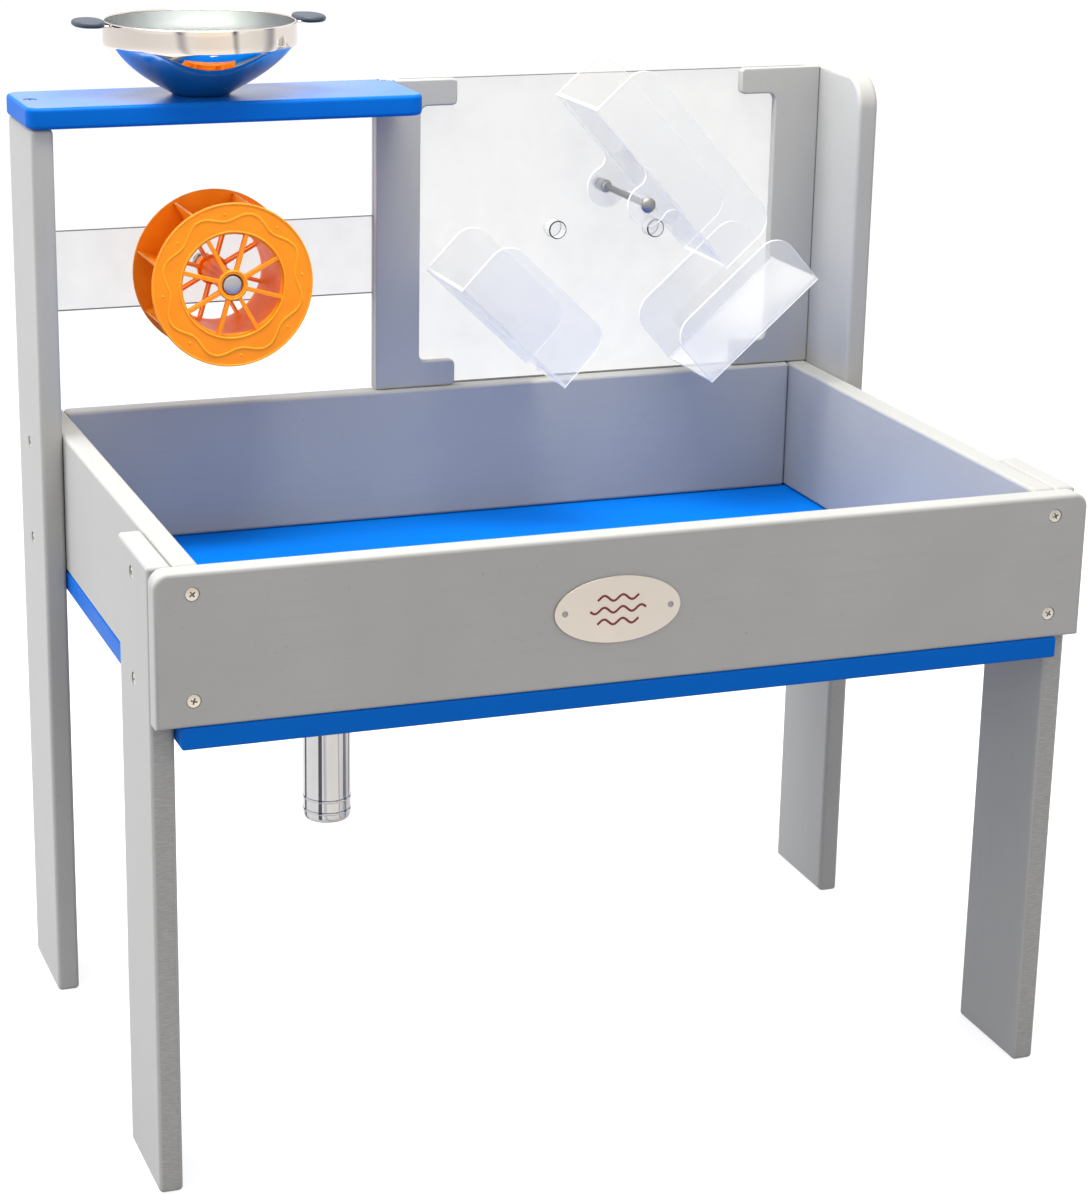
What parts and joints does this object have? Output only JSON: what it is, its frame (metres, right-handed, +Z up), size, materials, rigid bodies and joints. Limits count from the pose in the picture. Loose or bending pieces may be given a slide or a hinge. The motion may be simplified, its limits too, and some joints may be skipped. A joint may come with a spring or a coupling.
{
  "type": "sand and water table",
  "caption": "Children's wooden sand and water table with a tray on four legs, a rear shelf with a bowl, a water wheel, chutes and a tipping trough.",
  "frame": {"origin": "on the floor under the middle of the whole table, bowl included", "axes": "+X to the right of a child who stands at the front, +Y from the front to the back, +Z up"},
  "size_m": [0.773, 0.54, 0.854],
  "materials": {
    "grey_paint": "satin light grey paint on solid wood",
    "blue_paint": "satin blue paint on solid wood",
    "clear_acrylic": "clear polished acrylic sheet",
    "orange_plastic": "semi-gloss orange plastic",
    "steel": "bright zinc-plated steel",
    "mirror_steel": "polished stainless steel",
    "grip_rubber": "matt dark grey silicone",
    "badge_enamel": "cream enamel",
    "chrome": "polished chrome",
    "screw_metal": "nickel-plated steel"
  },
  "bodies": {
    "table": {"front_apron": "grey_paint", "back_board": "grey_paint", "left_side_board": "grey_paint", "right_side_board": "grey_paint", "front_left_leg": "grey_paint", "front_right_leg": "grey_paint", "rear_left_post": "grey_paint", "rear_right_post": "grey_paint", "left_bracket": "grey_paint", "right_bracket": "grey_paint", "base_panel": "blue_paint", "shelf": "blue_paint", "clear_back_panel": "clear_acrylic", "clear_crossbar": "clear_acrylic", "left_chute": "clear_acrylic", "right_chute": "clear_acrylic", "left_chute_block": "clear_acrylic", "right_chute_block": "clear_acrylic", "stop_peg_left": "clear_acrylic", "stop_peg_right": "clear_acrylic", "wheel_spacer": "orange_plastic", "wheel_axle": "steel", "wheel_nut": "steel", "trough_bolt": "steel", "trough_spacer": "steel", "trough_nut": "steel", "badge_rivet_left": "steel", "badge_rivet_right": "steel", "drain_seal": "grip_rubber", "badge_plate": "badge_enamel", "drain_flange": "chrome", "drain_nut": "chrome", "drain_pipe": "chrome", "apron_screw_1": "screw_metal", "apron_screw_2": "screw_metal", "apron_screw_3": "screw_metal", "apron_screw_4": "screw_metal", "front_left_screw_1": "screw_metal", "front_left_screw_2": "screw_metal", "front_right_screw_1": "screw_metal", "front_right_screw_2": "screw_metal", "rear_left_screw_1": "screw_metal", "rear_left_screw_2": "screw_metal", "rear_right_screw_1": "screw_metal", "rear_right_screw_2": "screw_metal", "shelf_screw_left": "screw_metal", "shelf_screw_right": "screw_metal", "left_bracket_screw_1": "screw_metal", "left_bracket_screw_2": "screw_metal", "right_bracket_screw_1": "screw_metal", "right_bracket_screw_2": "screw_metal"},
    "trough": {"tipping_trough": "clear_acrylic"},
    "wheel": {"wheel_front_disc": "orange_plastic", "wheel_drum": "orange_plastic", "wheel_rear_disc": "orange_plastic", "wheel_hub": "orange_plastic"},
    "bowl": {"mixing_bowl": "mirror_steel", "bowl_grip_left": "grip_rubber", "bowl_grip_right": "grip_rubber"},
    "plug": {"drain_plug": "grip_rubber"}
  },
  "joints": [
    {"name": "trough_tip", "type": "hinge", "parent": "table", "child": "trough", "pos_m": [0.156, 0.1733, 0.688], "axis": [0, -1, 0], "range_deg": [0, 94.6]},
    {"name": "wheel_spin", "type": "hinge", "parent": "table", "child": "wheel", "pos_m": [-0.217, 0.1733, 0.6345], "axis": [0, -1, 0], "continuous": true},
    {"name": "bowl_lift", "type": "slide", "parent": "table", "child": "bowl", "axis": [0, 0, 1], "range_m": [0, 0.15]},
    {"name": "plug_lift", "type": "slide", "parent": "table", "child": "plug", "axis": [0, 0, 1], "range_m": [0, 0.05]}
  ]
}
